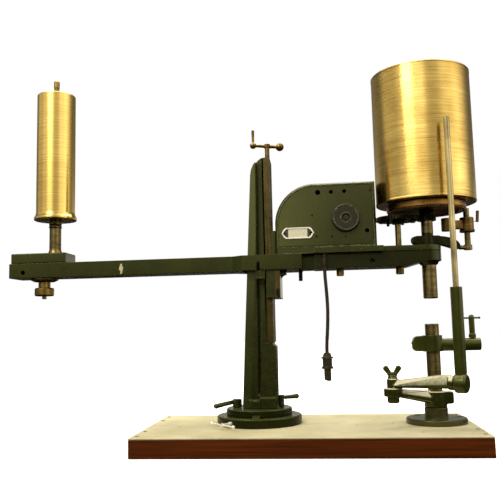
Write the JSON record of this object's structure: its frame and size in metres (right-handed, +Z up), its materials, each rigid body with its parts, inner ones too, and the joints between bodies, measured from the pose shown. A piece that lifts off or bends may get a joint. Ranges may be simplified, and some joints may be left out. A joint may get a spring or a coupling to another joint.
{
  "type": "long-paper kymograph",
  "caption": "Laboratory kymograph: brass drum driven by a geared motor on a lifting arm, idler drum, swivel column with crank screw, lever stand and wooden board.",
  "frame": {"origin": "underside of the baseboard, on the swivel axis of the column", "axes": "+X along the arm towards the recording drum, +Y away from the operator, +Z up"},
  "size_m": [0.7876, 0.249, 0.6235],
  "materials": {
    "mahogany": "oiled and worn",
    "board_sheet": "cream linoleum-like sheet, scratched",
    "green_enamel": "dark green enamel, semi-gloss, worn edges",
    "stand_enamel": "lighter olive enamel, worn",
    "brass": "brushed and slightly tarnished",
    "bronze": "turned copper-bronze",
    "oxidised_steel": "brown oxidised steel",
    "blackened_steel": "blackened, oily",
    "bright_metal": "bright plated",
    "nickel_silver": "pale cast plate, bare",
    "rod_steel": "yellowed bright rod",
    "rubber": "matte, aged",
    "screw_metal": "worn screw heads"
  },
  "bodies": {
    "base": {"baseboard": "mahogany", "board_top": "board_sheet", "wood_screws": "screw_metal", "base_flange": "green_enamel", "index_pointer": "green_enamel", "stand_base": "stand_enamel", "stand_post": "oxidised_steel"},
    "lock_screw": {"lock_screw": "bright_metal"},
    "turntable": {"turntable": "green_enamel", "column": "green_enamel", "slide_strips": "oxidised_steel", "clamp_studs": "oxidised_steel"},
    "left_lever": {"clamp_lever_left": "green_enamel"},
    "right_lever": {"clamp_lever_right": "green_enamel"},
    "crank": {"lift_screw": "oxidised_steel", "crank": "brass"},
    "carriage": {"saddle": "green_enamel", "wear_strip": "oxidised_steel", "lift_nut": "bronze", "arm": "green_enamel", "stop_pin": "blackened_steel", "brass_nuts": "brass", "spindle_sleeve": "oxidised_steel", "bed_plate": "green_enamel", "housing": "green_enamel", "housing_cover": "green_enamel", "cover_screws": "blackened_steel", "nameplate": "nickel_silver", "motor": "green_enamel", "cord_gland": "rubber", "mains_cord": "rubber", "mains_plug": "oxidised_steel"},
    "saddle_lock": {"saddle_lock": "blackened_steel"},
    "speed_knob": {"speed_knob": "oxidised_steel"},
    "worm_shaft": {"worm_shaft": "oxidised_steel"},
    "output_gear": {"output_gear": "bronze"},
    "countershaft": {"countershaft": "oxidised_steel", "counter_gear": "blackened_steel"},
    "drum": {"drum_shell": "brass", "drum_ends": "brass", "index_wheel": "bronze", "drum_spindle": "oxidised_steel", "spindle_pinion": "blackened_steel"},
    "contact_arm": {"contact_arm": "blackened_steel", "contact_post": "oxidised_steel"},
    "contact_block": {"contact_block": "oxidised_steel"},
    "idler_block": {"idler_block": "green_enamel", "idler_spindle": "green_enamel", "idler_stud": "bronze"},
    "idler_nut": {"idler_nut": "brass"},
    "idler_drum": {"idler_drum": "brass", "idler_cap": "oxidised_steel"},
    "lower_arm": {"lower_arm": "green_enamel", "elbow_bolt": "green_enamel"},
    "upper_arm": {"upper_arm": "green_enamel"},
    "wing_nut": {"wing_nut": "green_enamel"},
    "lever_tube": {"lever_tube": "green_enamel"},
    "lever_rod": {"lever_rod": "rod_steel"},
    "clamp_head": {"clamp_head": "green_enamel"},
    "t_screw": {"t_screw": "green_enamel"}
  },
  "joints": [
    {"name": "column_swivel", "type": "hinge", "parent": "base", "child": "turntable", "pos_m": [0, 0, 0.0432], "axis": [0, 0, 1], "range_deg": [0, 90]},
    {"name": "base_lock", "type": "hinge", "parent": "base", "child": "lock_screw", "pos_m": [-0.05076, -0.07249, 0.036], "axis": [-0.5736, -0.8192, 0], "range_deg": [-6.5, 13]},
    {"name": "left_clamp", "type": "hinge", "parent": "turntable", "child": "left_lever", "pos_m": [-0.036, 0, 0.0674], "axis": [0, 0, 1], "range_deg": [-30, 60]},
    {"name": "right_clamp", "type": "hinge", "parent": "turntable", "child": "right_lever", "pos_m": [0.036, 0, 0.0732], "axis": [0, 0, 1], "range_deg": [-30, 60]},
    {"name": "lift", "type": "slide", "parent": "turntable", "child": "carriage", "axis": [0, 0, 1], "range_m": [-0.03, 0.055]},
    {"name": "crank_turn", "type": "hinge", "parent": "turntable", "child": "crank", "pos_m": [0.0236, 0, 0.465], "axis": [0, 0, 1], "range_deg": [-3970, 2170]},
    {"name": "saddle_lock_turn", "type": "hinge", "parent": "carriage", "child": "saddle_lock", "pos_m": [0.0375, -0.0335, 0.2405], "axis": [0, 1, 0], "range_deg": [-40, 90]},
    {"name": "speed_turn", "type": "hinge", "parent": "carriage", "child": "speed_knob", "pos_m": [0.1493, -0.038, 0.353], "axis": [0, 1, 0], "range_deg": [-120, 120]},
    {"name": "drum_turn", "type": "hinge", "parent": "carriage", "child": "drum", "pos_m": [0.281, 0, 0.327], "axis": [0, 0, 1], "continuous": true},
    {"name": "countershaft_turn", "type": "hinge", "parent": "carriage", "child": "countershaft", "pos_m": [0.2345, 0, 0.307], "axis": [0, 0, 1], "continuous": true},
    {"name": "output_turn", "type": "hinge", "parent": "carriage", "child": "output_gear", "pos_m": [0.1835, 0, 0.353], "axis": [0, 0, 1], "continuous": true},
    {"name": "worm_turn", "type": "hinge", "parent": "carriage", "child": "worm_shaft", "pos_m": [0.15, 0.014, 0.3323], "axis": [1, 0, 0], "continuous": true},
    {"name": "contact_swing", "type": "hinge", "parent": "carriage", "child": "contact_arm", "pos_m": [0.281, 0, 0.3075], "axis": [0, 0, 1], "range_deg": [-50, 50]},
    {"name": "wiper_swing", "type": "hinge", "parent": "contact_arm", "child": "contact_block", "pos_m": [0.34829, 0.01929, 0.342], "axis": [0, 0, 1], "range_deg": [-25, 25]},
    {"name": "idler_slide", "type": "slide", "parent": "carriage", "child": "idler_block", "axis": [1, 0, 0], "range_m": [0, 0.12]},
    {"name": "idler_nut_turn", "type": "hinge", "parent": "idler_block", "child": "idler_nut", "pos_m": [-0.365, 0, 0.25], "axis": [0, 0, 1], "range_deg": [-180, 180]},
    {"name": "idler_drum_turn", "type": "hinge", "parent": "idler_block", "child": "idler_drum", "pos_m": [-0.3465, 0, 0.374], "axis": [0, 0, 1], "continuous": true},
    {"name": "lower_arm_swing", "type": "hinge", "parent": "base", "child": "lower_arm", "pos_m": [0.278, -0.014, 0.053], "axis": [0, 0, 1], "range_deg": [-20, 12]},
    {"name": "elbow_swing", "type": "hinge", "parent": "lower_arm", "child": "upper_arm", "pos_m": [0.2105, -0.042, 0.086], "axis": [0, 0, 1], "range_deg": [-60, 4]},
    {"name": "wing_turn", "type": "hinge", "parent": "lower_arm", "child": "wing_nut", "pos_m": [0.2105, -0.042, 0.1002], "axis": [0, 0, 1], "range_deg": [-180, 180]},
    {"name": "lever_tilt", "type": "hinge", "parent": "upper_arm", "child": "lever_tube", "pos_m": [0.303, -0.095, 0.0958], "axis": [0.8677, -0.4971, 0], "range_deg": [0, 35]},
    {"name": "rod_slide", "type": "slide", "parent": "lever_tube", "child": "lever_rod", "axis": [0, 0, 1], "range_m": [-0.055, 0.04]},
    {"name": "head_slide", "type": "slide", "parent": "base", "child": "clamp_head", "axis": [0, 0, 1], "range_m": [-0.025, 0.012]},
    {"name": "t_screw_turn", "type": "hinge", "parent": "clamp_head", "child": "t_screw", "pos_m": [0.3395, -0.014, 0.1588], "axis": [0, 0, 1], "range_deg": [-180, 180]}
  ],
  "couplings": [
    {"joint": "crank_turn", "follows": "lift", "rad_per_m": -1256.6},
    {"joint": "countershaft_turn", "follows": "drum_turn", "ratio": -0.40909},
    {"joint": "output_turn", "follows": "drum_turn", "ratio": 0.75},
    {"joint": "worm_turn", "follows": "drum_turn", "ratio": 30}
  ]
}
